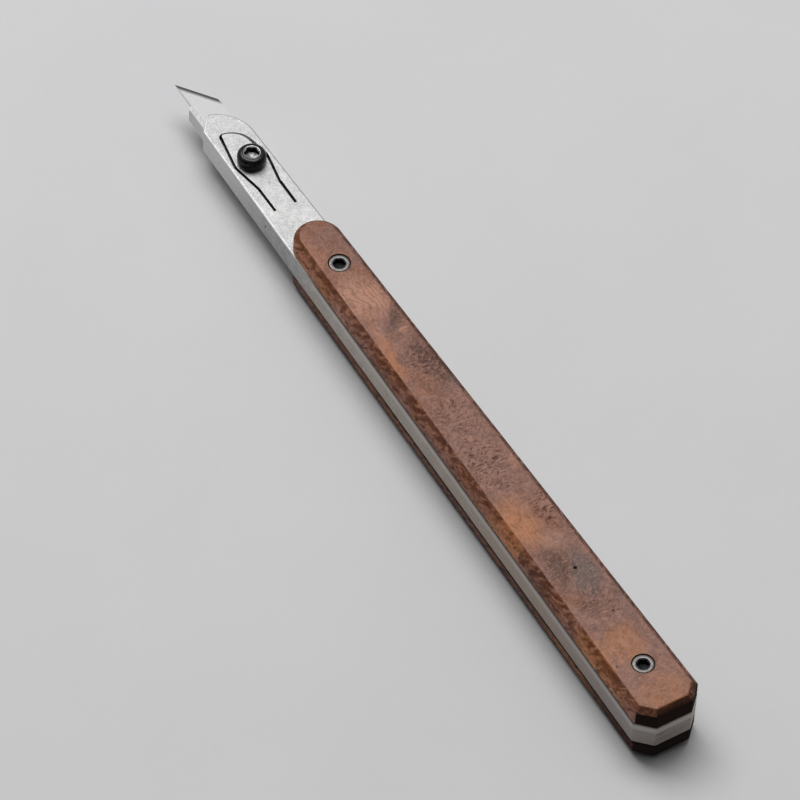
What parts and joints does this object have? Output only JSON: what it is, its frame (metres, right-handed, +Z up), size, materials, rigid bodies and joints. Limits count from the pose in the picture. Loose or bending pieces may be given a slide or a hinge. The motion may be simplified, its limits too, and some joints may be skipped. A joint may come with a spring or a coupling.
{
  "type": "leather knife",
  "caption": "Slim leather knife: tapered steel body between bevelled wood scales, with a pointed blade clamped at the nose by a spring tongue and a cap screw.",
  "frame": {"origin": "middle of the knife's length and width, on the flat outer face of the lower scale that it lies on", "axes": "+X along the knife towards the blade's tip, +Y to the left seen from above with the blade ahead, +Z up through the scales and plates"},
  "size_m": [0.1712, 0.0132, 0.0134],
  "materials": {
    "wood": "oiled, fine sanded",
    "body_steel": "tumbled matte",
    "blade_steel": "fine ground",
    "black_screw": "black oxide, oiled",
    "bright_screw": "turned, bright"
  },
  "bodies": {
    "handle": {"lower_scale": "wood", "lower_plate": "body_steel", "upper_plate": "body_steel", "upper_scale": "wood", "front_sleeve_nut": "bright_screw", "rear_sleeve_nut": "bright_screw", "front_handle_screw": "bright_screw", "rear_handle_screw": "bright_screw"},
    "tongue": {"clamp_tongue": "body_steel"},
    "screw": {"clamp_screw": "black_screw"},
    "blade": {"blade": "blade_steel"}
  },
  "joints": [
    {"name": "tongue_flex", "type": "hinge", "parent": "handle", "child": "tongue", "pos_m": [0.04825, 0, 0.0094], "axis": [0, -1, 0], "range_deg": [0, 1.15]},
    {"name": "clamp_screw_turn", "type": "hinge", "parent": "tongue", "child": "screw", "pos_m": [0.06075, 0, 0.0094], "axis": [0, 0, 1], "range_deg": [0, 180]},
    {"name": "blade_slide", "type": "slide", "parent": "handle", "child": "blade", "axis": [1, 0, 0], "range_m": [0, 0.018]}
  ],
  "couplings": [
    {"joint": "tongue_flex", "follows": "clamp_screw_turn", "ratio": 0.006366}
  ]
}
